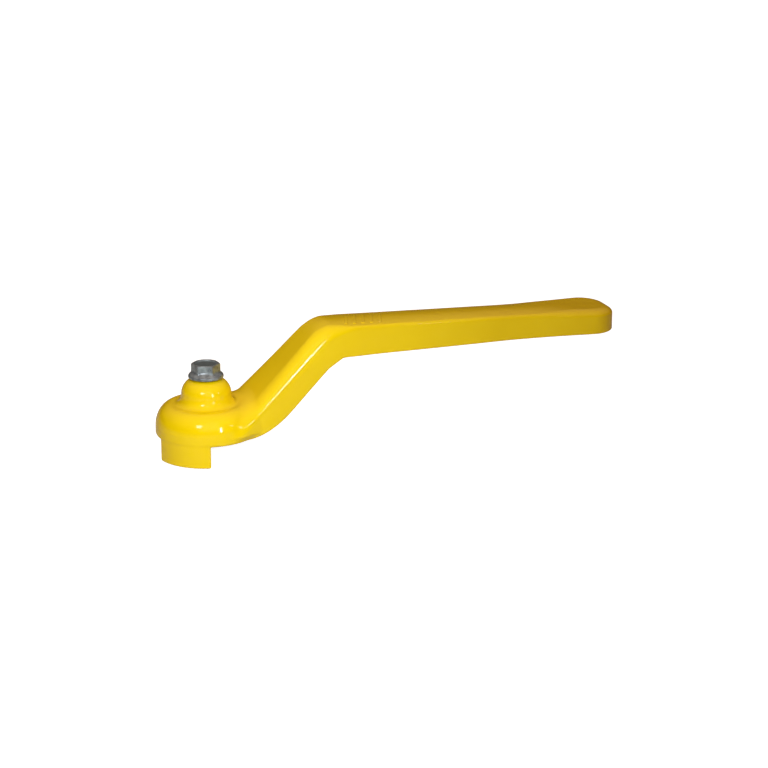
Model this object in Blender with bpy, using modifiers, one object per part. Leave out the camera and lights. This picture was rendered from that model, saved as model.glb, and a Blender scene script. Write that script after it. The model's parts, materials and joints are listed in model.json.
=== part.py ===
"""Lever handle of a quarter-turn ball valve, with the flange bolt that holds it on the valve's stem.

The Z axis is the axis of the valve's stem, the grip runs along +X, and Z is 0 at the lower edge of the
stop lug. All sizes are in metres.
"""
import math

import bmesh
import bpy
from mathutils import Matrix

# Hub, turned about the stem's axis.
RIM_RADIUS = 0.0261
RIM_BOTTOM = 0.0109
RIM_EDGE = 0.0015
RIM_SHOULDER = (0.0078, 0.0109)
RIM_TOP = 0.0267
FOOT_RADIUS = 0.004
BOSS_RADIUS = 0.0127
BOSS_SHOULDER = (0.0080, 0.0083)
SEAT_HEIGHT = 0.0399

# Stop lug under the rim, between two angles from +X.
LUG_RADIUS = 0.0259
LUG_WALL = 0.005
LUG_START = 190
LUG_END = 259

# Hollow under the hub, the socket for the stem's square and the hole for the bolt.
ROOF_HEIGHT = 0.0222
SOCKET_BOSS_RADIUS = 0.0122
SOCKET_WIDTH = 0.014
SOCKET_CORNER = 0.0006
SOCKET_TOP = 0.0305
BOLT_HOLE_RADIUS = 0.0045

# Side outline of the lever, as lines through a point (x, z) with a slope: the arm rises from the hub to
# the elbow, and the grip runs on almost level. Under the elbow a facet joins the two.
ARM_TOP = (0.022, 0.0287, 0.989)
ARM_BOTTOM = (0.0315, 0.0142, 0.951)
GRIP_TOP = (0.022, 0.0656, -0.0323)
GRIP_BOTTOM = (0.022, 0.0468, 0.0004)
ELBOW_FACET = (0.0622, 0.0429, 0.6)
ELBOW_BLEND = 0.0068
HEEL_BLEND = 0.0124

# Plan outline of the lever: a straight taper from the hub, a slim grip and a flared end.
LEVER_START = 0.0054
LEVER_LENGTH = 0.2202
TAPER_WIDTH = 0.0232
TAPER_SLOPE = -0.1604
GRIP_WIDTH = 0.0134
GRIP_WIDTH_SLOPE = -0.0095
WIDTH_BLEND = 0.004
FLARE_START = 0.158
FLARE_END = 0.234
FLARE = 0.0074
END_CORNER = 0.0144
EDGE_ROUNDING = 0.0035

# Channel under the lever, closed by ribs.
SKIN = 0.0038
WALL = 0.0034
CHANNEL_START = 0.0262
RIB_COUNT = 7
RIB_THICKNESS = 0.0026
RIB_SETBACK = 0.0025

# Hexagon flange bolt M8 x 20, 13 mm across its flats.
FLANGE_RADIUS = 0.00895
FLANGE_EDGE = 0.0013
FLANGE_TOP_RADIUS = 0.0073
FLANGE_TOP = 0.0027
HEX_WIDTH = 0.013
HEX_TURN = math.radians(11)
HEAD_HEIGHT = 0.0073
HEAD_CHAMFER_RADIUS = 0.0066
HEAD_CHAMFER = math.radians(30)
DISH_RADIUS = 0.0059
DISH_FLOOR_RADIUS = 0.0054
DISH_DEPTH = 0.0009
SHANK_RADIUS = 0.0039
SHANK_LENGTH = 0.020
SHANK_CHAMFER = 0.0009

GAP = 0.0003
MARGIN = 0.002
TRIM = 0.0005
WELD = 0.000001
SEAM = 0.00005
STATION_STEP = 0.005
TURN_STEPS = 64


def soft_max(first, second, blend):
    """The larger of two heights, rounded over where the two lines cross."""
    overlap = max(blend - abs(first - second), 0.0) / blend
    return max(first, second) + overlap * overlap * blend / 4


def soft_min(first, second, blend):
    """The smaller of two heights, rounded over where the two lines cross."""
    return -soft_max(-first, -second, blend)


def smooth_step(start, end, value):
    """0 up to start, 1 from end on, and a smooth rise between."""
    t = min(max((value - start) / (end - start), 0.0), 1.0)
    return t * t * (3 - 2 * t)


def line(spec, x):
    """Height at x of a line, given by a point on it and its slope."""
    return spec[1] + spec[2] * (x - spec[0])


def lever_top(x):
    """Height of the lever's top along its length."""
    return max(soft_min(line(ARM_TOP, x), line(GRIP_TOP, x), ELBOW_BLEND), RIM_TOP - MARGIN)


def lever_bottom(x):
    """Height of the lever's underside along its length."""
    height = min(line(ARM_BOTTOM, x), line(ELBOW_FACET, x), line(GRIP_BOTTOM, x))
    return soft_max(height, RIM_BOTTOM + SEAM, HEEL_BLEND)


def lever_half_width(x):
    """Half the lever's width along its length, before the end's corners are rounded."""
    taper = TAPER_WIDTH + TAPER_SLOPE * x
    grip = GRIP_WIDTH + GRIP_WIDTH_SLOPE * x
    return soft_max(taper, grip, WIDTH_BLEND) + FLARE * smooth_step(FLARE_START, FLARE_END, x)


def stations(start, end):
    """Evenly spaced places from start to end, about one station step apart."""
    count = max(2, round((end - start) / STATION_STEP))
    return [start + (end - start) * i / count for i in range(count + 1)]


def arc(centre, radius, start, end, steps):
    """Points on an arc, with its angles in degrees."""
    angles = [math.radians(start + (end - start) * i / steps) for i in range(steps + 1)]
    return [(centre[0] + radius * math.cos(a), centre[1] + radius * math.sin(a)) for a in angles]


def new_object(name, mesh, collection):
    """Put a mesh in the scene as a named object."""
    thing = bpy.data.objects.new(name, mesh)
    collection.objects.link(thing)
    return thing


def outline_prism(name, points, depth, collection, upright=False):
    """A flat outline made solid: along Z from 0 to depth, or upright and centred on the XZ plane."""
    curve = bpy.data.curves.new(name, "CURVE")
    curve.dimensions = "2D"
    curve.fill_mode = "BOTH"
    curve.extrude = depth / 2
    spline = curve.splines.new("POLY")
    spline.points.add(len(points) - 1)
    for point, (x, y) in zip(spline.points, points):
        point.co = (x, y, 0, 1)
    spline.use_cyclic_u = True
    flat = new_object(name + "_outline", curve, collection)
    if upright:
        flat.rotation_euler = (math.pi / 2, 0, 0)
    else:
        flat.location = (0, 0, depth / 2)
    bpy.context.view_layer.update()
    depsgraph = bpy.context.evaluated_depsgraph_get()
    mesh = bpy.data.meshes.new_from_object(flat.evaluated_get(depsgraph))
    mesh.transform(flat.matrix_world)
    mesh.name = name
    bpy.data.objects.remove(flat)
    weld(mesh)
    return new_object(name, mesh, collection)


def turned(name, profile, collection, ring=False):
    """A profile of (radius, height) points turned about Z. A ring's profile closes on itself."""
    mesh = bpy.data.meshes.new(name)
    bm = bmesh.new()
    verts = [bm.verts.new((radius, 0, height)) for radius, height in profile]
    for first, second in zip(verts, verts[1:]):
        bm.edges.new((first, second))
    if ring:
        bm.edges.new((verts[-1], verts[0]))
    bm.to_mesh(mesh)
    bm.free()
    thing = new_object(name, mesh, collection)
    screw = thing.modifiers.new("turn", "SCREW")
    screw.steps = TURN_STEPS
    screw.render_steps = TURN_STEPS
    screw.use_merge_vertices = True
    screw.merge_threshold = 0.00001
    return thing


def weld(mesh):
    """Join vertices that lie on each other, and point every face outwards."""
    bm = bmesh.new()
    bm.from_mesh(mesh)
    bmesh.ops.remove_doubles(bm, verts=bm.verts, dist=WELD)
    bmesh.ops.recalc_face_normals(bm, faces=bm.faces)
    bm.to_mesh(mesh)
    bm.free()


def combine(thing, operation, other):
    """Add a Boolean to an object."""
    boolean = thing.modifiers.new(operation.lower() + "_" + other.name, "BOOLEAN")
    boolean.operation = operation
    boolean.solver = "EXACT"
    boolean.object = other


def as_tool(thing):
    """Mark an object as a cutter or a building solid that isn't a part."""
    thing.hide_render = True
    thing.display_type = "WIRE"
    return thing


def settle(thing):
    """Apply an object's modifiers."""
    bpy.context.view_layer.update()
    depsgraph = bpy.context.evaluated_depsgraph_get()
    mesh = bpy.data.meshes.new_from_object(thing.evaluated_get(depsgraph))
    thing.modifiers.clear()
    thing.data = mesh
    weld(mesh)


def material(name, colour, roughness, metallic):
    """A plain Principled material."""
    made = bpy.data.materials.new(name)
    made.use_nodes = True
    shader = made.node_tree.nodes["Principled BSDF"]
    shader.inputs["Base Color"].default_value = (*colour, 1)
    shader.inputs["Roughness"].default_value = roughness
    shader.inputs["Metallic"].default_value = metallic
    return made


def plan_outline(start, inset):
    """Outline seen from above, from start to the lever's round end, drawn in by inset all round."""
    corner = END_CORNER - inset
    corner_start = LEVER_LENGTH - inset - corner
    near = [(x, inset - lever_half_width(x)) for x in stations(start, corner_start)]
    edge = near[-1][1]
    for angle in range(15, 91, 15):
        turn = math.radians(angle)
        near.append((corner_start + corner * math.sin(turn), edge + corner * (1 - math.cos(turn))))
    far = [(x, -y) for x, y in reversed(near)]
    return near + far


def side_outline(start, skin, below):
    """Outline seen from the side: lowered by skin at the top, and by below at the bottom."""
    places = stations(start, LEVER_LENGTH - END_CORNER) + [LEVER_LENGTH]
    low = [(x, lever_bottom(x) - below) for x in places]
    high = [(x, lever_top(x) - skin * top_stretch(x)) for x in reversed(places)]
    return low + high


def top_stretch(x):
    """How much further down a skin reaches, measured upright, where the top slopes."""
    slope = (lever_top(x + MARGIN) - lever_top(x - MARGIN)) / (2 * MARGIN)
    return math.sqrt(1 + slope * slope)


def round_upper_edges(thing):
    """Round the edges between the lever's top and its sides and end."""
    bm = bmesh.new()
    bm.from_mesh(thing.data)
    bm.normal_update()
    chosen = []
    for edge in bm.edges:
        tilts = sorted(face.normal.z for face in edge.link_faces)
        at_start = all(vert.co.x < LEVER_START + TRIM for vert in edge.verts)
        if len(tilts) == 2 and abs(tilts[0]) < 0.1 and tilts[1] > 0.5 and not at_start:
            chosen.append(edge)
    bmesh.ops.bevel(bm, geom=chosen, offset=EDGE_ROUNDING, segments=3, profile=0.5, affect="EDGES",
                    clamp_overlap=False)
    bm.to_mesh(thing.data)
    bm.free()


def arm_solid(tools):
    """Arm and grip as one solid: the side outline and the plan outline, cut to what they share."""
    sides = side_outline(LEVER_START, 0, 0)
    arm = outline_prism("arm", sides, 4 * RIM_RADIUS, tools, upright=True)
    plan = outline_prism("arm_plan", plan_outline(LEVER_START, 0), LEVER_LENGTH, tools)
    combine(arm, "INTERSECT", plan)
    settle(arm)
    bpy.data.objects.remove(plan)
    round_upper_edges(arm)
    return as_tool(arm)


def quarter(radius, height, reach):
    """A quarter of an ellipse that ends at a radius, below a height, reaching (inwards, downwards)."""
    turns = [math.radians(angle) for angle in range(0, 91, 15)]
    return [(radius - reach[0] * (1 - math.sin(a)), height - reach[1] * (1 - math.cos(a))) for a in turns]


def hub_profile():
    """The hub's outline from the top of its axis down the outside to the bottom of its axis."""
    dome = quarter(BOSS_RADIUS, SEAT_HEIGHT, BOSS_SHOULDER)
    foot = arc((BOSS_RADIUS + FOOT_RADIUS, RIM_TOP + FOOT_RADIUS), FOOT_RADIUS, 180, 270, 4)
    shoulder = quarter(RIM_RADIUS, RIM_TOP, RIM_SHOULDER)
    edge = [(RIM_RADIUS, RIM_BOTTOM + RIM_EDGE), (RIM_RADIUS - RIM_EDGE, RIM_BOTTOM)]
    return [(0, SEAT_HEIGHT)] + dome + foot + shoulder + edge + [(0, RIM_BOTTOM)]


def lug_solid(tools):
    """The stop lug: part of a ring, reaching up into the rim."""
    outside = arc((0, 0), LUG_RADIUS, LUG_START, LUG_END, 16)
    inside = arc((0, 0), LUG_RADIUS - LUG_WALL - TRIM, LUG_END, LUG_START, 16)
    return as_tool(outline_prism("lug", outside + inside, RIM_BOTTOM + MARGIN, tools))


def channel_cutter(tools):
    """The channel under the lever, as a solid that leaves out the ribs."""
    sides = side_outline(CHANNEL_START, SKIN, MARGIN)
    channel = outline_prism("channel", sides, 4 * RIM_RADIUS, tools, upright=True)
    plan = outline_prism("channel_plan", plan_outline(CHANNEL_START, WALL), LEVER_LENGTH, tools)
    combine(channel, "INTERSECT", plan)
    pitch = (LEVER_LENGTH - WALL - CHANNEL_START) / (RIB_COUNT + 1)
    ribs = [rib(CHANNEL_START + (i + 1) * pitch, i, tools) for i in range(RIB_COUNT)]
    for each in ribs:
        combine(channel, "DIFFERENCE", each)
    settle(channel)
    for used in [plan] + ribs:
        bpy.data.objects.remove(used)
    return as_tool(channel)


def rib(x, number, tools):
    """A rib across the channel, which stops a little above the lever's lower edge."""
    low = lever_bottom(x) + RIB_SETBACK
    mesh = bpy.data.meshes.new(f"rib_{number}")
    bm = bmesh.new()
    bmesh.ops.create_cube(bm, size=1)
    bmesh.ops.scale(bm, verts=bm.verts, vec=(RIB_THICKNESS, 4 * RIM_RADIUS, LEVER_LENGTH))
    bmesh.ops.translate(bm, verts=bm.verts, vec=(x, 0, low + LEVER_LENGTH / 2))
    bm.to_mesh(mesh)
    bm.free()
    return new_object(mesh.name, mesh, tools)


def hub_cutters(tools):
    """The ring-shaped hollow under the hub, the stem's socket and the bolt's hole."""
    inner = SOCKET_BOSS_RADIUS
    outer = LUG_RADIUS - LUG_WALL
    hollow = turned("hollow", [(inner, -MARGIN), (inner, ROOF_HEIGHT), (outer, ROOF_HEIGHT),
                               (outer, -MARGIN)], tools, ring=True)
    half = SOCKET_WIDTH / 2
    inset = half - SOCKET_CORNER
    square = []
    for x, y, turn in ((inset, inset, 0), (-inset, inset, 90), (-inset, -inset, 180), (inset, -inset, 270)):
        square += arc((x, y), SOCKET_CORNER, turn, turn + 90, 3)
    socket = outline_prism("socket", square, SOCKET_TOP, tools)
    hole = turned("bolt_hole", [(0, SEAT_HEIGHT + MARGIN), (BOLT_HOLE_RADIUS, SEAT_HEIGHT + MARGIN),
                                (BOLT_HOLE_RADIUS, SOCKET_TOP - MARGIN), (0, SOCKET_TOP - MARGIN)], tools)
    return [as_tool(hollow), as_tool(socket), as_tool(hole)]


def lever_handle(parts, tools):
    """The casting: hub, stop lug, arm and grip in one piece, hollow underneath."""
    lever = turned("lever_handle", hub_profile(), parts)
    combine(lever, "UNION", arm_solid(tools))
    combine(lever, "UNION", lug_solid(tools))
    settle(lever)
    for cutter in hub_cutters(tools) + [channel_cutter(tools)]:
        combine(lever, "DIFFERENCE", cutter)
    settle(lever)
    lever.data.materials.append(material("yellow_coating", (0.86, 0.60, 0.02), 0.3, 0))
    return lever


def hexagon_prism(name, width, bottom, top, turn, collection):
    """A hexagon bar along Z, measured across its flats."""
    mesh = bpy.data.meshes.new(name)
    bm = bmesh.new()
    corner_radius = width / math.sqrt(3)
    bmesh.ops.create_cone(bm, cap_ends=True, segments=6, radius1=corner_radius, radius2=corner_radius,
                          depth=top - bottom)
    bmesh.ops.rotate(bm, verts=bm.verts, matrix=Matrix.Rotation(turn, 3, "Z"))
    bmesh.ops.translate(bm, verts=bm.verts, vec=(0, 0, (top + bottom) / 2))
    bm.to_mesh(mesh)
    bm.free()
    return new_object(name, mesh, collection)


def bolt_head(tools):
    """The hexagon with its top corners turned off and a dish in its top, standing from Z 0."""
    head = hexagon_prism("bolt_head", HEX_WIDTH, TRIM, HEAD_HEIGHT, HEX_TURN, tools)
    reach = FLANGE_RADIUS
    drop = (reach - HEAD_CHAMFER_RADIUS) * math.tan(HEAD_CHAMFER)
    lathe = turned("head_lathe", [(0, HEAD_HEIGHT), (HEAD_CHAMFER_RADIUS, HEAD_HEIGHT),
                                  (reach, HEAD_HEIGHT - drop), (reach, -MARGIN), (0, -MARGIN)], tools)
    dish = turned("head_dish", [(0, HEAD_HEIGHT + MARGIN), (DISH_RADIUS + TRIM, HEAD_HEIGHT + MARGIN),
                                (DISH_RADIUS, HEAD_HEIGHT), (DISH_FLOOR_RADIUS, HEAD_HEIGHT - DISH_DEPTH),
                                (0, HEAD_HEIGHT - DISH_DEPTH)], tools)
    combine(head, "INTERSECT", lathe)
    combine(head, "DIFFERENCE", dish)
    settle(head)
    for used in (lathe, dish):
        bpy.data.objects.remove(used)
    return as_tool(head)


def flange_bolt(parts, tools):
    """The bolt, with its own origin on its axis where the flange meets the boss."""
    bolt = turned("flange_bolt", [(0, FLANGE_TOP), (FLANGE_TOP_RADIUS, FLANGE_TOP),
                                  (FLANGE_RADIUS, FLANGE_EDGE), (FLANGE_RADIUS, 0), (SHANK_RADIUS, 0),
                                  (SHANK_RADIUS, SHANK_CHAMFER - SHANK_LENGTH),
                                  (SHANK_RADIUS - SHANK_CHAMFER, -SHANK_LENGTH),
                                  (0, -SHANK_LENGTH)], parts)
    head = bolt_head(tools)
    bolt.location = (0, 0, SEAT_HEIGHT + GAP)
    head.location = bolt.location
    combine(bolt, "UNION", head)
    bolt.data.materials.append(material("zinc_plated_steel", (0.42, 0.43, 0.46), 0.38, 1))
    return bolt


def clear_scene():
    """Remove whatever the scene holds."""
    for thing in list(bpy.data.objects):
        bpy.data.objects.remove(thing)


def main():
    clear_scene()
    parts = bpy.data.collections.new("ball_valve_lever")
    tools = bpy.data.collections.new("cutters")
    for collection in (parts, tools):
        bpy.context.scene.collection.children.link(collection)
    lever_handle(parts, tools)
    flange_bolt(parts, tools)


main()
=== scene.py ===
"""Looks of a ball valve's lever handle: a coated casting and the plated flange bolt that holds it.

Both pieces are described as distance fields, functions that are negative inside the metal, and a
net of quads is stretched over the surface where the field is zero. Fillets and rounded edges are
part of the fields.
"""
import json
import math

import bpy
import numpy as np
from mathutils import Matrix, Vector


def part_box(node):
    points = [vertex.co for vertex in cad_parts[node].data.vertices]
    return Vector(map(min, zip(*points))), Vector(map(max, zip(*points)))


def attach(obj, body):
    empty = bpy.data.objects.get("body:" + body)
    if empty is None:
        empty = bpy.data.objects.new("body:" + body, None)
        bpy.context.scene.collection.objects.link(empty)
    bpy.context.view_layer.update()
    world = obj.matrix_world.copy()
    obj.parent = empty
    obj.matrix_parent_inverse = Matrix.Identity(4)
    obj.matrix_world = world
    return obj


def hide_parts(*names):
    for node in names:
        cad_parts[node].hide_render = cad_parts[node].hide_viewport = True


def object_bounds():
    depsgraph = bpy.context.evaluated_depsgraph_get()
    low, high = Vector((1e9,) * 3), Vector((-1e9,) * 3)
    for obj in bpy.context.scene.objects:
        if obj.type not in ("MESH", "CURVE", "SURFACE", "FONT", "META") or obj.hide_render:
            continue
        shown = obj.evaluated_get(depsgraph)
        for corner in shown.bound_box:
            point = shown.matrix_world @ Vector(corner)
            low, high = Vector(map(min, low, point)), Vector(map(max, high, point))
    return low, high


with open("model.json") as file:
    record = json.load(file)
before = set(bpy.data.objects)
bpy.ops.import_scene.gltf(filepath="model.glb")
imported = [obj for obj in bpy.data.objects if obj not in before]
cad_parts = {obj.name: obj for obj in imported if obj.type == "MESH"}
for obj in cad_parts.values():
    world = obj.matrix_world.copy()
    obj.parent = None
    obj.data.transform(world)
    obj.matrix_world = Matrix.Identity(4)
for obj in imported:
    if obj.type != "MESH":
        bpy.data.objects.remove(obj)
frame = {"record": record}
CAD_LOW, CAD_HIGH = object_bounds()
LEVER_LOW, LEVER_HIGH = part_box("lever_handle")
BOLT_LOW, BOLT_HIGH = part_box("flange_bolt")
MOUNTS = {mount["name"]: mount["pos_m"] for mount in frame["record"]["mounts"]}
GAP = 0.0003

# The hub: a thick disc round a boss, and a stop lug under its rim, between two angles from +X.
RIM_RADIUS = LEVER_HIGH.y
RIM_BOTTOM = MOUNTS["rim_under_face"][2]
RIM_TOP = 0.0267
RIM_SHOULDER = (0.0078, 0.0109)
RIM_LOWER_EDGE = 0.0016
BOSS_RADIUS = 0.0127
BOSS_SHOULDER = (0.0080, 0.0083)
BOSS_ROOT = 0.006
HEAD_HEIGHT = 0.0073
SEAT_HEIGHT = BOLT_HIGH.z - HEAD_HEIGHT - GAP
LUG_RADIUS = RIM_RADIUS - 0.0002
LUG_WALL = 0.005
LUG_START = math.radians(190)
LUG_END = math.radians(259)
LUG_EDGE = 0.0006
LUG_RISE = 0.0055
HUB_DRAFT = 0.02

# The lever's outline from the side: straight lines, each a point (x, height) and a slope.
ARM_TOP = (0.022, 0.0287, 0.989)
ARM_BOTTOM = (0.0315, 0.0142, 0.951)
GRIP_TOP = (0.022, 0.0656, -0.0323)
GRIP_BOTTOM = (0.022, 0.0468, 0.0004)
ELBOW_FACET = (0.0622, 0.0429, 0.6)
ELBOW_BLEND = 0.0068
HEEL_BLEND = 0.0124

# The lever's outline from above: half widths, as lines of the same kind, and a flare at the end.
LEVER_LENGTH = LEVER_HIGH.x
TAPER = (0.0, 0.0232, -0.1604)
GRIP_SIDE = (0.0, 0.0134, -0.0095)
WAIST_BLEND = 0.004
FLARE = 0.0074
FLARE_START = 0.158
FLARE_END = 0.234
END_CORNER = 0.0144

# The upper edges, each as the reach and depth of a quarter ellipse, and where along X each pair
# of neighbours blends.
ARM_EDGE = (0.0090, 0.0042)
ELBOW_EDGE = (0.0070, 0.0085)
GRIP_EDGE = (0.0014, 0.0014)
END_EDGE = (0.0060, 0.0032)
ARM_TO_ELBOW = (0.020, 0.052)
ELBOW_TO_GRIP = (0.054, 0.078)
GRIP_TO_END = (0.170, 0.200)
CROWN = 0.0012
CROWN_START = (0.048, 0.068)

# Other rounded edges and fillets.
LOWER_EDGE = 0.0009
LIP = 0.0008
RIM_FILLET = 0.0003
ROOT_FILLET = 0.0050
ROOT_FILLET_RISE = 0.004
BOSS_FILLET = 0.0038
LUG_FILLET = 0.0002

# The hollow underside.
ROOF_HEIGHT = 0.0222
SOCKET_BOSS_RADIUS = 0.0122
SOCKET_WIDTH = 0.014
SOCKET_TOP = 0.0305
SOCKET_CORNER = 0.0006
BOLT_HOLE_RADIUS = 0.0045
HOLLOW_EDGE = 0.0005
ROOF_CORNER = 0.0015
WALL = 0.0034
SKIN = 0.0038
CHANNEL_START = 0.0262
CHANNEL_CORNER = 0.002
RIB_COUNT = 7
RIB_THICKNESS = 0.0026
RIB_SETBACK = 0.0025
RIB_FILLET = 0.001

# The M8 flange bolt, in its own frame with its seat at height 0.
FLANGE_RADIUS = BOLT_HIGH.x
FLANGE_EDGE = 0.0013
FLANGE_TOP_RADIUS = 0.0073
FLANGE_TOP = 0.0027
FLANGE_ROUND = 0.0004
FLANGE_ROOT = 0.001
HEX_WIDTH = 0.013
HEX_TURN = math.radians(11)
HEAD_EDGE = 0.0003
HEAD_FILLET = 0.0007
HEAD_CHAMFER_RADIUS = 0.0066
HEAD_CHAMFER = math.radians(30)
CHAMFER_EDGE = 0.0002
DISH_RADIUS = 0.0059
DISH_FLOOR_RADIUS = 0.0054
DISH_DEPTH = 0.0009
DISH_EDGE = 0.0002
# How far inside the dish's rim the painted shade fades in.
DISH_SHADE_WIDTH = 0.0006
THREAD_RADIUS = 0.0039
THREAD_PITCH = 0.00125
THREAD_DEPTH = 0.00072
THREAD_FLANK = math.radians(30)
THREAD_START = -0.0018
NECK_LENGTH = 0.0008
NECK_DEPTH = 0.4 * THREAD_DEPTH
POINT_SLOPE = 0.8
SHANK_ROOT = 0.001
SHANK_LENGTH = SEAT_HEIGHT - BOLT_LOW.z

# A plain raised mark on the grip's top: slanted bars in a row.
MARK_START = 0.0735
MARK_PITCH = 0.0045
MARK_BARS = 5
MARK_WIDTH = 0.0018
MARK_HALF_LENGTH = 0.0066
MARK_MIDDLE = -0.0025
MARK_SLANT = 0.30
MARK_HEIGHT = 0.0003
MARK_CORNER = 0.0008
MARK_EDGE = 0.00025
MARK_FOOT_EDGE = 0.0001

# How fine each net of quads is.
LEVER_CELL = 0.00072
BOLT_CELL = 0.0002
MARK_CELL = 0.0002

# The studio. Angles are azimuth from -Y, turning towards +X, and elevation, in degrees.
HUB = Vector((0, 0, RIM_TOP))
ARM = Vector((0.045, 0, 0.04))
GRIP = Vector((0.13, 0, 0.06))
KEY_COLOUR = (0.87, 1.0, 0.92)
SKY_COLOUR = (1.0, 0.75, 0.58)
SKY_HEIGHTS = (0.25, 0.95)
SKY_STRENGTHS = (0.04, 0.75)
FLOOR_SIZE = 12
FLOOR_GAP = 0.0005
FLOOR_GLOW = 0.95
FLOOR_BOUNCE = 0.05
CAMERA_TARGET = Vector((0.0885, -0.0183, 0.0326))
CAMERA_ANGLES = (-19.18, 17.52)
CAMERA_DISTANCE = 1.2
CAMERA_LENS = 110.53


# ---------------------------------------------------------------- distance fields

def smooth_step(start, end, value):
    t = np.clip((value - start) / (end - start), 0.0, 1.0)
    return t * t * (3 - 2 * t)


def soft_max(first, second, blend):
    overlap = np.maximum(blend - np.abs(first - second), 0.0) / blend
    return np.maximum(first, second) + overlap * overlap * blend / 4


def soft_min(first, second, blend):
    return -soft_max(-first, -second, blend)


def overlap(first, second, radius):
    """What two solids share, with the edge between them rounded to a radius."""
    rounded = np.hypot(np.maximum(first + radius, 0.0), np.maximum(second + radius, 0.0))
    return np.minimum(np.maximum(first, second), -radius) + rounded


def union(first, second, radius):
    """Two solids joined, with a fillet of a radius between them."""
    return -overlap(-first, -second, radius)


def cut(solid, tool, radius):
    """A solid without the tool, with the cut's edge rounded to a radius."""
    return overlap(solid, -tool, radius)


def elliptic_overlap(first, second, radii):
    """What two solids share, with a shoulder that is a quarter of an ellipse."""
    return np.minimum(*radii) * overlap(first / radii[0], second / radii[1], 1.0)


def line(spec, x):
    """Height at x of a straight line, given by a point on it and its slope."""
    return spec[1] + spec[2] * (x - spec[0])


def beyond(value, outline, x):
    """How far value lies past an outline that is a function of x, measured square to it."""
    step = 0.0005
    slope = (outline(x + step) - outline(x - step)) / (2 * step)
    return (value - outline(x)) / np.sqrt(1 + slope * slope)


def lever_top(x):
    return soft_min(line(ARM_TOP, x), line(GRIP_TOP, x), ELBOW_BLEND)


def lever_bottom(x):
    height = np.minimum(np.minimum(line(ARM_BOTTOM, x), line(ELBOW_FACET, x)), line(GRIP_BOTTOM, x))
    return soft_max(height, RIM_BOTTOM, HEEL_BLEND)


def lever_half_width(x):
    width = soft_max(line(TAPER, x), line(GRIP_SIDE, x), WAIST_BLEND)
    return width + FLARE * smooth_step(FLARE_START, FLARE_END, x)


def upper_edge(x):
    """Reach and depth of the rounded upper edges: largest at the elbow, small along the grip."""
    to_elbow = smooth_step(*ARM_TO_ELBOW, x)
    to_grip = smooth_step(*ELBOW_TO_GRIP, x)
    to_end = smooth_step(*GRIP_TO_END, x)
    return [arm + (elbow - arm) * to_elbow + (grip - elbow) * to_grip + (end - grip) * to_end
            for arm, elbow, grip, end in zip(ARM_EDGE, ELBOW_EDGE, GRIP_EDGE, END_EDGE)]


def crown(x, y):
    """How far the grip's top falls away towards its sides."""
    share = smooth_step(*CROWN_START, x) * (1 - smooth_step(*GRIP_TO_END, x))
    return CROWN * share * (y / lever_half_width(x)) ** 2


def lever_plan(x, y):
    side = beyond(np.abs(y), lever_half_width, x)
    return overlap(side, x - LEVER_LENGTH, END_CORNER)


def lever_bar(x, y, z):
    """The arm and the grip, one bent bar with rounded edges."""
    top = beyond(z, lever_top, x) + crown(x, y)
    body = elliptic_overlap(lever_plan(x, y), top, upper_edge(x))
    return overlap(body, -beyond(z, lever_bottom, x), LOWER_EDGE)


def hub_disc(radius, z):
    draft = HUB_DRAFT * (z - RIM_BOTTOM)
    disc = elliptic_overlap(radius - RIM_RADIUS + draft, z - RIM_TOP, RIM_SHOULDER)
    return overlap(disc, RIM_BOTTOM - z, RIM_LOWER_EDGE)


def stop_lug(x, y, z, radius):
    """A piece of ring under the rim, between two angles."""
    ring = overlap(radius - LUG_RADIUS, LUG_RADIUS - LUG_WALL - radius, LUG_EDGE)
    past_start = x * math.sin(LUG_START) - y * math.cos(LUG_START)
    past_end = y * math.cos(LUG_END) - x * math.sin(LUG_END)
    sector = overlap(overlap(ring, past_start, LUG_EDGE), past_end, LUG_EDGE)
    return np.maximum(overlap(sector, -z, LUG_EDGE), z - RIM_BOTTOM - LUG_RISE)


def boss(radius, z):
    dome = elliptic_overlap(radius - BOSS_RADIUS, z - SEAT_HEIGHT, BOSS_SHOULDER)
    return np.maximum(dome, RIM_TOP - BOSS_ROOT - z)


def outer(x, y, z):
    """The casting as if it were solid."""
    radius = np.hypot(x, y)
    rise = smooth_step(RIM_BOTTOM, RIM_BOTTOM + ROOT_FILLET_RISE, z)
    fillet = RIM_FILLET + (ROOT_FILLET - RIM_FILLET) * rise
    body = union(lever_bar(x, y, z), hub_disc(radius, z), fillet)
    body = union(body, stop_lug(x, y, z, radius), LUG_FILLET)
    return union(body, boss(radius, z), BOSS_FILLET)


def hub_hollow(x, y, z, radius):
    """The ring-shaped hollow round the socket, the square socket and the bolt's hole."""
    ring = overlap(radius - LUG_RADIUS + LUG_WALL, SOCKET_BOSS_RADIUS - radius, HOLLOW_EDGE)
    ring = overlap(ring, z - ROOF_HEIGHT, ROOF_CORNER)
    below = np.maximum(radius - LUG_RADIUS + LUG_WALL, z - RIM_BOTTOM)
    square = overlap(np.abs(x) - SOCKET_WIDTH / 2, np.abs(y) - SOCKET_WIDTH / 2, SOCKET_CORNER)
    square = overlap(square, z - SOCKET_TOP, SOCKET_CORNER)
    hole = radius - BOLT_HOLE_RADIUS
    return np.minimum(np.minimum(ring, below), np.minimum(square, hole))


def channel(x, y, z):
    """The hollow under the arm and the grip, between the ribs."""
    space = overlap(lever_plan(x, y) + WALL, beyond(z, lever_top, x) + SKIN, CHANNEL_CORNER)
    space = overlap(space, CHANNEL_START - x, CHANNEL_CORNER)
    pitch = (LEVER_LENGTH - WALL - CHANNEL_START) / (RIB_COUNT + 1)
    nearest = np.clip(np.round((x - CHANNEL_START) / pitch), 1, RIB_COUNT)
    across = np.abs(x - CHANNEL_START - pitch * nearest) - RIB_THICKNESS / 2
    rib = np.maximum(across, -beyond(z, lever_bottom, x) + RIB_SETBACK)
    return cut(space, rib, RIB_FILLET)


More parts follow.
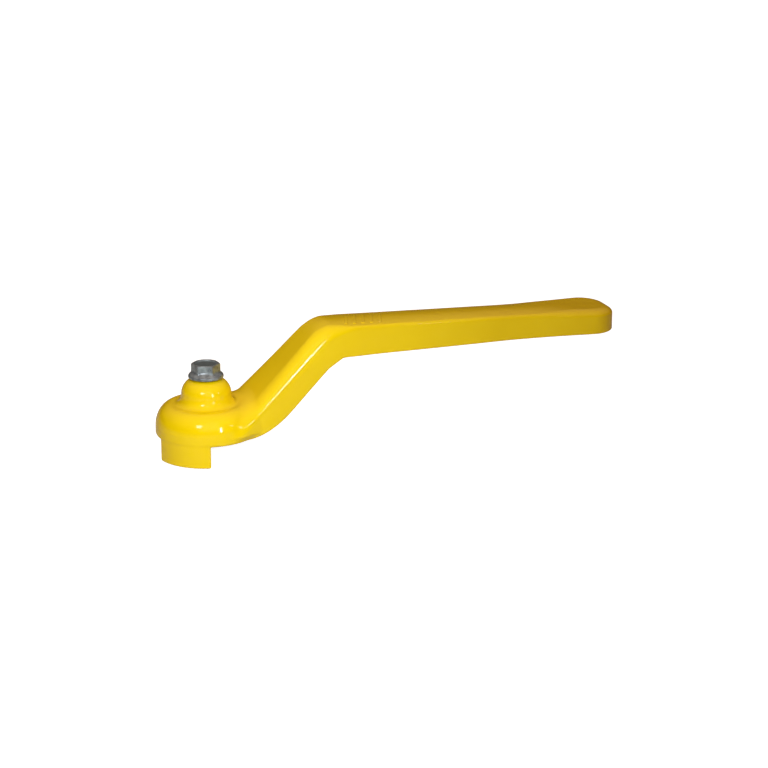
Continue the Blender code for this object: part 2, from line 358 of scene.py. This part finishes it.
def casting(x, y, z):
    body = cut(outer(x, y, z), hub_hollow(x, y, z, np.hypot(x, y)), LIP)
    return cut(body, channel(x, y, z), LIP)


def raised_mark(x, y, z):
    """Slanted bars that stand a little proud of the grip's top."""
    side = y - MARK_MIDDLE
    along = x - MARK_START - MARK_SLANT * side
    nearest = np.clip(np.round(along / MARK_PITCH), 0, MARK_BARS - 1)
    across = (np.abs(along - MARK_PITCH * nearest) - MARK_WIDTH / 2) / math.hypot(1, MARK_SLANT)
    bars = overlap(across, np.abs(side) - MARK_HALF_LENGTH, MARK_CORNER)
    height = z - lever_top(x) + crown(x, y)
    bars = overlap(bars, height - MARK_HEIGHT, MARK_EDGE)
    return overlap(bars, -height - MARK_HEIGHT, MARK_FOOT_EDGE)


def hexagon(x, y):
    sides = []
    for turn in range(3):
        angle = HEX_TURN + turn * math.pi / 3
        sides.append(np.abs(x * math.cos(angle) + y * math.sin(angle)) - HEX_WIDTH / 2)
    return overlap(overlap(sides[0], sides[1], HEAD_EDGE), sides[2], HEAD_EDGE)


def cone(radius, z, start_radius, start_height, angle):
    """Distance from a cone that falls away from a circle at an angle below level."""
    return (z - start_height) * math.cos(angle) + (radius - start_radius) * math.sin(angle)


def bolt_head(x, y, z):
    """The hexagon head with its dish, on the sloping flange."""
    radius = np.hypot(x, y)
    chamfer = cone(radius, z, HEAD_CHAMFER_RADIUS, HEAD_HEIGHT, HEAD_CHAMFER)
    head = overlap(hexagon(x, y), chamfer, CHAMFER_EDGE)
    head = overlap(head, z - HEAD_HEIGHT, HEAD_EDGE)
    wall = math.atan2(DISH_RADIUS - DISH_FLOOR_RADIUS, DISH_DEPTH)
    dish = (radius - DISH_RADIUS) * math.cos(wall) - (z - HEAD_HEIGHT) * math.sin(wall)
    dish = overlap(dish, HEAD_HEIGHT - DISH_DEPTH - z, HEAD_EDGE)
    head = cut(head, dish, DISH_EDGE)
    fall = math.atan2(FLANGE_TOP - FLANGE_EDGE, FLANGE_RADIUS - FLANGE_TOP_RADIUS)
    slope = cone(radius, z, FLANGE_RADIUS, FLANGE_EDGE, fall)
    flange = overlap(radius - FLANGE_RADIUS, slope, FLANGE_ROUND)
    flange = np.maximum(flange, z - FLANGE_TOP - FLANGE_ROOT)
    return overlap(union(head, flange, HEAD_FILLET), -z, HEAD_EDGE)


def threaded_shank(x, y, z):
    """A shank with a right-hand thread of 60 degrees, a plain neck and a chamfered point.

    The factors below 1 keep the field from changing faster than distance does on steep flanks.
    """
    radius = np.hypot(x, y)
    turns = z / THREAD_PITCH - np.arctan2(y, x) / math.tau
    from_crest = np.abs(turns - np.round(turns)) * THREAD_PITCH
    drop = (from_crest - THREAD_PITCH / 16) / math.tan(THREAD_FLANK)
    drop = np.clip(drop, 0, THREAD_DEPTH)
    neck = smooth_step(THREAD_START - NECK_LENGTH, THREAD_START, z)
    thread = (radius - THREAD_RADIUS + drop + (NECK_DEPTH - drop) * neck) * 0.5
    point = -z - SHANK_LENGTH + np.maximum(radius - THREAD_RADIUS + THREAD_DEPTH, 0) * POINT_SLOPE
    return np.maximum(np.maximum(thread, point * 0.7), z - SHANK_ROOT)


def flange_bolt(x, y, z):
    height = z - SEAT_HEIGHT - GAP
    return np.minimum(bolt_head(x, y, height), threaded_shank(x, y, height))


# ---------------------------------------------------------------- from fields to meshes

def sample(field, low, high, cell):
    """The grid's first corner and the field's values on it, with two spare cells all round."""
    first = np.array(low) - 2.37 * cell
    counts = np.ceil((np.array(high) - first) / cell).astype(int) + 3
    axes = [first[i] + cell * np.arange(counts[i]) for i in range(3)]
    return first, field(*np.meshgrid(*axes, indexing="ij", sparse=True))


def net_over(values, first, cell):
    """One vertex in each cell that the surface crosses, and one quad for each crossed grid edge."""
    inside = values < 0
    corner_sum = np.zeros(np.array(values.shape) - 1, int)
    total = values.shape
    offsets = [(i, j, k) for i in (0, 1) for j in (0, 1) for k in (0, 1)]
    for i, j, k in offsets:
        corner_sum += inside[i:total[0] - 1 + i, j:total[1] - 1 + j, k:total[2] - 1 + k]
    cells = np.argwhere((corner_sum > 0) & (corner_sum < 8))
    number = np.full(corner_sum.shape, -1)
    number[tuple(cells.T)] = np.arange(len(cells))
    places = np.zeros((len(cells), 3))
    crossings = np.zeros(len(cells))
    for start in offsets:
        for axis in range(3):
            if start[axis]:
                continue
            end = list(start)
            end[axis] = 1
            a = values[tuple((cells + start).T)]
            b = values[tuple((cells + end).T)]
            crossed = (a < 0) != (b < 0)
            share = np.where(crossed, a / np.where(crossed, a - b, 1), 0)
            point = np.array(start, float) + share[:, None] * (np.array(end) - start)
            places += np.where(crossed[:, None], point, 0)
            crossings += crossed
    vertices = first + cell * (cells + places / crossings[:, None])
    quads = []
    for axis in range(3):
        order = (axis, (axis + 1) % 3, (axis + 2) % 3)
        solid, names = inside.transpose(order), number.transpose(order)
        crossed = solid[:-1, 1:-1, 1:-1] != solid[1:, 1:-1, 1:-1]
        i, j, k = np.nonzero(crossed)
        j, k = j + 1, k + 1
        ring = np.stack([names[i, j - 1, k - 1], names[i, j, k - 1],
                         names[i, j, k], names[i, j - 1, k]], axis=1)
        outward = solid[i, j, k]
        quads.append(np.where(outward[:, None], ring, ring[:, ::-1]))
    return vertices, np.concatenate(quads)


def gradient(field, points, step):
    columns = []
    for axis in range(3):
        shift = np.zeros(3)
        shift[axis] = step
        ahead = field(*(points + shift).T)
        behind = field(*(points - shift).T)
        columns.append((ahead - behind) / (2 * step))
    return np.stack(columns, axis=1)


def onto_surface(field, points, cell):
    """Newton steps that bring points onto the surface, none longer than half a cell."""
    for _ in range(3):
        slope = gradient(field, points, cell / 12)
        steepness = np.maximum((slope * slope).sum(axis=1), 0.05)
        move = -(field(*points.T) / steepness)[:, None] * slope
        length = np.maximum(np.linalg.norm(move, axis=1), 1e-12)
        points = points + move * np.minimum(1, 0.5 * cell / length)[:, None]
    return points


def relaxed(points, quads, share):
    """Points moved part of the way to the middle of their neighbours."""
    starts = quads.ravel()
    ends = np.roll(quads, -1, axis=1).ravel()
    pairs = np.concatenate([starts, ends]), np.concatenate([ends, starts])
    count = np.bincount(pairs[0], minlength=len(points))
    middle = np.stack([np.bincount(pairs[0], points[pairs[1], i], len(points)) / count
                       for i in range(3)], axis=1)
    return points + share * (middle - points)


def surface_piece(name, field, low, high, cell):
    """A mesh object of the field's surface, with the field's own normals."""
    first, values = sample(field, low, high, cell)
    points, quads = net_over(values, first, cell)
    points = onto_surface(field, points, cell)
    for _ in range(3):
        points = onto_surface(field, relaxed(points, quads, 0.5), cell)
    mesh = bpy.data.meshes.new(name)
    mesh.from_pydata(points.tolist(), [], quads.tolist())
    mesh.shade_smooth()
    normals = gradient(field, points, cell / 6)
    normals /= np.maximum(np.linalg.norm(normals, axis=1), 1e-9)[:, None]
    mesh.normals_split_custom_set_from_vertices(normals.tolist())
    piece = bpy.data.objects.new(name, mesh)
    bpy.context.scene.collection.objects.link(piece)
    return piece


# ---------------------------------------------------------------- materials

def new_material(name):
    material = bpy.data.materials.new(name)
    material.use_nodes = True
    nodes = material.node_tree.nodes
    return material, nodes, material.node_tree.links, nodes["Principled BSDF"]


def noise(nodes, links, size, detail=2.0, roughness=0.5):
    """A noise texture whose lumps are about size metres across, fixed to the object."""
    texture = nodes.new("ShaderNodeTexNoise")
    texture.inputs["Scale"].default_value = 1 / size
    texture.inputs["Detail"].default_value = detail
    texture.inputs["Roughness"].default_value = roughness
    coordinates = nodes.new("ShaderNodeTexCoord")
    links.new(coordinates.outputs["Object"], texture.inputs["Vector"])
    return texture.outputs["Fac"]


def remap(nodes, links, value, low, high, to_low, to_high):
    node = nodes.new("ShaderNodeMapRange")
    node.inputs["From Min"].default_value = low
    node.inputs["From Max"].default_value = high
    node.inputs["To Min"].default_value = to_low
    node.inputs["To Max"].default_value = to_high
    links.new(value, node.inputs["Value"])
    return node.outputs["Result"]


def mix_colours(nodes, links, share, first, second):
    node = nodes.new("ShaderNodeMix")
    node.data_type = "RGBA"
    links.new(share, node.inputs["Factor"])
    for socket, colour in ((node.inputs["A"], first), (node.inputs["B"], second)):
        if isinstance(colour, tuple):
            socket.default_value = (*colour, 1)
        else:
            links.new(colour, socket)
    return node.outputs["Result"]


def mix_values(nodes, links, share, first, second):
    node = nodes.new("ShaderNodeMix")
    links.new(share, node.inputs["Factor"])
    links.new(first, node.inputs["A"])
    node.inputs["B"].default_value = second
    return node.outputs["Result"]


def bump(nodes, links, height, strength, depth, below=None):
    node = nodes.new("ShaderNodeBump")
    node.inputs["Strength"].default_value = strength
    node.inputs["Distance"].default_value = depth
    links.new(height, node.inputs["Height"])
    if below is not None:
        links.new(below, node.inputs["Normal"])
    return node.outputs["Normal"]


def yellow_coating():
    """Glossy yellow coating on a casting: orange peel, thin spots and slightly rubbed edges."""
    material, nodes, links, shader = new_material("yellow_coating")
    clouds = remap(nodes, links, noise(nodes, links, 0.030), 0.35, 0.65, 0, 1)
    colour = mix_colours(nodes, links, clouds, (0.82, 0.535, 0.001), (0.85, 0.565, 0.002))
    edges = nodes.new("ShaderNodeNewGeometry").outputs["Pointiness"]
    rubbed = remap(nodes, links, edges, 0.53, 0.62, 0, 0.35)
    colour = mix_colours(nodes, links, rubbed, colour, (0.90, 0.58, 0.02))
    links.new(colour, shader.inputs["Base Color"])
    gloss = remap(nodes, links, noise(nodes, links, 0.006, 4), 0.3, 0.7, 0.09, 0.13)
    links.new(gloss, shader.inputs["Roughness"])
    swell = bump(nodes, links, noise(nodes, links, 0.014, 1), 0.35, 0.0006)
    peel = bump(nodes, links, noise(nodes, links, 0.0016, 2), 0.04, 0.0002, swell)
    links.new(peel, shader.inputs["Normal"])
    shader.inputs["IOR"].default_value = 1.5
    shader.inputs["Specular IOR Level"].default_value = 0.38
    return material


def in_dish(nodes, links):
    """1 on the floor of the bolt head's dish, 0 elsewhere: where the plating gets painted shade."""
    coordinates = nodes.new("ShaderNodeTexCoord").outputs["Object"]
    flat = nodes.new("ShaderNodeVectorMath")
    flat.operation = "MULTIPLY"
    flat.inputs[1].default_value = (1, 1, 0)
    links.new(coordinates, flat.inputs[0])
    radius = nodes.new("ShaderNodeVectorMath")
    radius.operation = "LENGTH"
    links.new(flat.outputs["Vector"], radius.inputs[0])
    within = remap(nodes, links, radius.outputs["Value"], DISH_RADIUS - DISH_SHADE_WIDTH, DISH_RADIUS, 1, 0)
    height = nodes.new("ShaderNodeSeparateXYZ")
    links.new(coordinates, height.inputs["Vector"])
    rim = SEAT_HEIGHT + GAP + HEAD_HEIGHT
    below = remap(nodes, links, height.outputs["Z"], rim - DISH_DEPTH, rim - DISH_EDGE, 1, 0)
    both = nodes.new("ShaderNodeMath")
    both.operation = "MULTIPLY"
    links.new(within, both.inputs[0])
    links.new(below, both.inputs[1])
    return both.outputs["Value"]


def zinc_plating():
    """Dull zinc plating: cloudy grey, fine grain and darker spots, with painted shade in the head's
    dish: dark, rough and not metallic.
    """
    material, nodes, links, shader = new_material("zinc_plating")
    clouds = remap(nodes, links, noise(nodes, links, 0.0025, 3), 0.35, 0.65, 0, 1)
    colour = mix_colours(nodes, links, clouds, (0.18, 0.20, 0.235), (0.35, 0.39, 0.44))
    spots = remap(nodes, links, noise(nodes, links, 0.0009, 3), 0.60, 0.72, 0, 0.5)
    colour = mix_colours(nodes, links, spots, colour, (0.19, 0.185, 0.20))
    # Painted shade on the dish's floor: a darker colour that is rougher and not metallic.
    dish_shade = in_dish(nodes, links)
    colour = mix_colours(nodes, links, dish_shade, colour, (0.065, 0.078, 0.09))
    links.new(colour, shader.inputs["Base Color"])
    shine = remap(nodes, links, noise(nodes, links, 0.0012, 4), 0.3, 0.7, 0.26, 0.42)
    shine = mix_values(nodes, links, dish_shade, shine, 0.7)
    links.new(shine, shader.inputs["Roughness"])
    links.new(remap(nodes, links, dish_shade, 0, 1, 0.7, 0), shader.inputs["Metallic"])
    grain = bump(nodes, links, noise(nodes, links, 0.0004, 3), 0.25, 0.00006)
    links.new(grain, shader.inputs["Normal"])
    return material


def floor_paint():
    """A pale floor that looks white, but throws little light back on the object."""
    material, nodes, links, shader = new_material("studio_floor")
    shader.inputs["Base Color"].default_value = (0.55, 0.55, 0.55, 1)
    shader.inputs["Roughness"].default_value = 0.9
    shader.inputs["Specular IOR Level"].default_value = 0.0
    shader.inputs["Emission Color"].default_value = (1, 1, 1, 1)
    seen = nodes.new("ShaderNodeLightPath").outputs["Is Camera Ray"]
    glow = remap(nodes, links, seen, 0, 1, FLOOR_BOUNCE, FLOOR_GLOW)
    links.new(glow, shader.inputs["Emission Strength"])
    return material


# ---------------------------------------------------------------- stage, light and camera

def add_floor():
    bpy.ops.mesh.primitive_plane_add(size=FLOOR_SIZE, location=(0, 0, CAD_LOW.z - FLOOR_GAP))
    floor = bpy.context.object
    floor.name = "floor"
    floor.data.materials.append(floor_paint())


def direction(azimuth, elevation):
    """Unit vector towards a place at an azimuth and an elevation in degrees."""
    a, e = math.radians(azimuth), math.radians(elevation)
    return Vector((math.sin(a) * math.cos(e), -math.cos(a) * math.cos(e), math.sin(e)))


def aimed(thing, place, target):
    thing.location = place
    thing.rotation_euler = (Vector(target) - Vector(place)).to_track_quat("-Z", "Y").to_euler()


def soft_light(name, target, angles, distance, size, power, spread=180):
    """An oval light, placed at two angles and a distance from a target point, and aimed at it."""
    data = bpy.data.lights.new(name, "AREA")
    data.shape = "ELLIPSE"
    data.size, data.size_y = size
    data.energy = power
    data.spread = math.radians(spread)
    light = bpy.data.objects.new(name, data)
    light.visible_camera = False
    bpy.context.scene.collection.objects.link(light)
    aimed(light, target + direction(*angles) * distance, target)
    return light


def add_sky():
    """A dim sky, darkest at the horizon, which the camera itself sees as the pale floor's end."""
    world = bpy.data.worlds.new("studio")
    world.use_nodes = True
    nodes, links = world.node_tree.nodes, world.node_tree.links
    coordinates = nodes.new("ShaderNodeTexCoord")
    height = nodes.new("ShaderNodeSeparateXYZ")
    links.new(coordinates.outputs["Generated"], height.inputs["Vector"])
    sky = remap(nodes, links, height.outputs["Z"], *SKY_HEIGHTS, *SKY_STRENGTHS)
    background = nodes["Background"]
    background.inputs["Color"].default_value = (*SKY_COLOUR, 1)
    links.new(sky, background.inputs["Strength"])
    backdrop = nodes.new("ShaderNodeBackground")
    backdrop.inputs["Color"].default_value = (1, 1, 1, 1)
    seen = nodes.new("ShaderNodeLightPath").outputs["Is Camera Ray"]
    chosen = nodes.new("ShaderNodeMixShader")
    links.new(seen, chosen.inputs["Fac"])
    links.new(background.outputs["Background"], chosen.inputs[1])
    links.new(backdrop.outputs["Background"], chosen.inputs[2])
    links.new(chosen.outputs["Shader"], nodes["World Output"].inputs["Surface"])
    bpy.context.scene.world = world


def add_lights():
    """A soft key light that fades towards the grip's end, and small lights that only draw highlights."""
    key = soft_light("key", HUB, (-12, 30), 0.30, (0.28, 0.28), 0.53, spread=125)
    key.data.color = KEY_COLOUR
    key.visible_glossy = False
    highlights = (soft_light("arm_edge", ARM, (5, 9), 0.25, (0.012, 0.09), 0.15),
                  soft_light("grip_edge", GRIP, (19, 20), 0.25, (0.030, 0.015), 0.030),
                  soft_light("spark", HUB, (-34, 30), 0.25, (0.055, 0.055), 0.10))
    for light in highlights:
        light.visible_diffuse = False


def add_camera():
    data = bpy.data.cameras.new("camera")
    data.sensor_width = 36
    data.lens = CAMERA_LENS
    camera = bpy.data.objects.new("camera", data)
    bpy.context.scene.collection.objects.link(camera)
    aimed(camera, CAMERA_TARGET + direction(*CAMERA_ANGLES) * CAMERA_DISTANCE, CAMERA_TARGET)
    bpy.context.scene.camera = camera


lever = surface_piece("lever_casting", casting, LEVER_LOW, LEVER_HIGH, LEVER_CELL)
lever.data.materials.append(yellow_coating())
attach(lever, "handle")
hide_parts("lever_handle")

mark_low = (MARK_START - 2 * MARK_PITCH, MARK_MIDDLE - MARK_HALF_LENGTH, GRIP_TOP[1] - 0.006)
mark_high = (MARK_START + (MARK_BARS + 1) * MARK_PITCH, MARK_MIDDLE + MARK_HALF_LENGTH, GRIP_TOP[1])
mark = surface_piece("raised_mark", raised_mark, mark_low, mark_high, MARK_CELL)
mark.data.materials.append(lever.data.materials[0])
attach(mark, "handle")

bolt = surface_piece("hex_flange_bolt", flange_bolt, BOLT_LOW, BOLT_HIGH, BOLT_CELL)
bolt.data.materials.append(zinc_plating())
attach(bolt, "bolt")
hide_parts("flange_bolt")

add_floor()
add_sky()
add_lights()
add_camera()
bpy.context.scene.view_settings.view_transform = "Standard"
